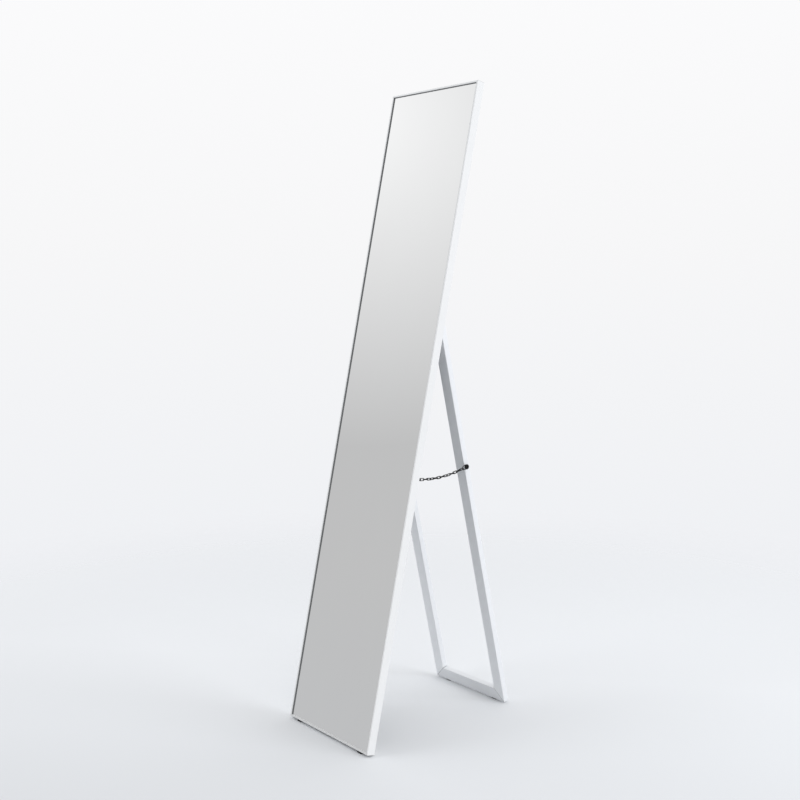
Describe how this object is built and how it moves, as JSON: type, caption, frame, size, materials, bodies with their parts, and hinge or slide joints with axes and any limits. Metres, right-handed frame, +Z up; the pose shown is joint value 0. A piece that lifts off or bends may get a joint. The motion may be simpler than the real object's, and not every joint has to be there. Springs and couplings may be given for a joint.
{
  "type": "standing mirror",
  "caption": "Tall narrow standing mirror in a thin white frame, leaning back on a hinged white leg frame that a short dark chain holds open, with rubber feet.",
  "frame": {"origin": "on the floor, at the middle of the space that the open mirror stands on", "axes": "+X across the mirror to its right seen from the front, +Y to the back, +Z up"},
  "size_m": [0.3, 0.4701, 1.4991],
  "materials": {
    "white_lacquer": "satin white lacquer on wood",
    "mirror_glass": "silvered float glass",
    "seal_rubber": "matt mid-grey extruded seal",
    "foot_rubber": "matt black moulded rubber",
    "foam_tape": "white foam tape",
    "hardboard": "hardboard painted grey",
    "joinery_wood": "bare beech",
    "hinge_steel": "zinc plated",
    "screw_steel": "zinc plated",
    "blackened_steel": "blackened steel wire"
  },
  "bodies": {
    "mirror_panel": {"frame_left_stile": "white_lacquer", "frame_right_stile": "white_lacquer", "frame_top_rail": "white_lacquer", "frame_bottom_rail": "white_lacquer", "frame_corner_splines": "joinery_wood", "mirror_glass": "mirror_glass", "edge_seal_left": "seal_rubber", "edge_seal_right": "seal_rubber", "edge_seal_top": "seal_rubber", "foam_tape_strips": "foam_tape", "backing_board": "hardboard", "hinge_rail": "white_lacquer", "hinge_rail_dowels": "joinery_wood", "left_hinge_panel_leaf": "hinge_steel", "right_hinge_panel_leaf": "hinge_steel", "left_hinge_pin": "hinge_steel", "right_hinge_pin": "hinge_steel", "panel_leaf_screws": "screw_steel", "panel_screw_eye": "blackened_steel", "panel_left_foot": "foot_rubber", "panel_right_foot": "foot_rubber"},
    "support_leg": {"leg_left_rail": "white_lacquer", "leg_right_rail": "white_lacquer", "leg_top_rail": "white_lacquer", "leg_bottom_rail": "white_lacquer", "leg_corner_splines": "joinery_wood", "left_hinge_leg_leaf": "hinge_steel", "right_hinge_leg_leaf": "hinge_steel", "leg_leaf_screws": "screw_steel", "leg_ring_screw": "blackened_steel", "leg_left_foot": "foot_rubber", "leg_right_foot": "foot_rubber"},
    "chain_panel_half": {"chain_panel_ring": "blackened_steel", "chain_panel_links": "blackened_steel"},
    "chain_middle": {"chain_middle_link": "blackened_steel"},
    "chain_leg_half": {"chain_leg_links": "blackened_steel", "chain_leg_ring": "blackened_steel"}
  },
  "joints": [
    {"name": "leg_fold", "type": "hinge", "parent": "mirror_panel", "child": "support_leg", "pos_m": [0, 0.00173, 0.9573], "axis": [-1, 0, 0], "range_deg": [0, 25.35], "deforming": ["chain_panel_links", "chain_middle_link", "chain_leg_links"]},
    {"name": "chain_panel_swing", "type": "hinge", "parent": "mirror_panel", "child": "chain_panel_half", "pos_m": [0.1395, -0.06905, 0.60465], "axis": [-0.9948, -0.082, -0.0609], "range_deg": [0, 87.8]},
    {"name": "chain_middle_turn", "type": "hinge", "parent": "chain_panel_half", "child": "chain_middle", "pos_m": [0.13421, -0.00219, 0.6011], "axis": [-0.0084, -0.0492, 0.9988], "range_deg": [0, 72.14]},
    {"name": "chain_leg_swing", "type": "hinge", "parent": "support_leg", "child": "chain_leg_half", "pos_m": [0.12725, 0.08573, 0.61438], "axis": [1, 0, 0], "range_deg": [0, 106.48]}
  ],
  "couplings": [
    {"joint": "chain_panel_swing", "follows": "leg_fold", "ratio": 3.4439},
    {"joint": "chain_middle_turn", "follows": "leg_fold", "ratio": 2.8261},
    {"joint": "chain_leg_swing", "follows": "leg_fold", "ratio": 4.1806}
  ]
}
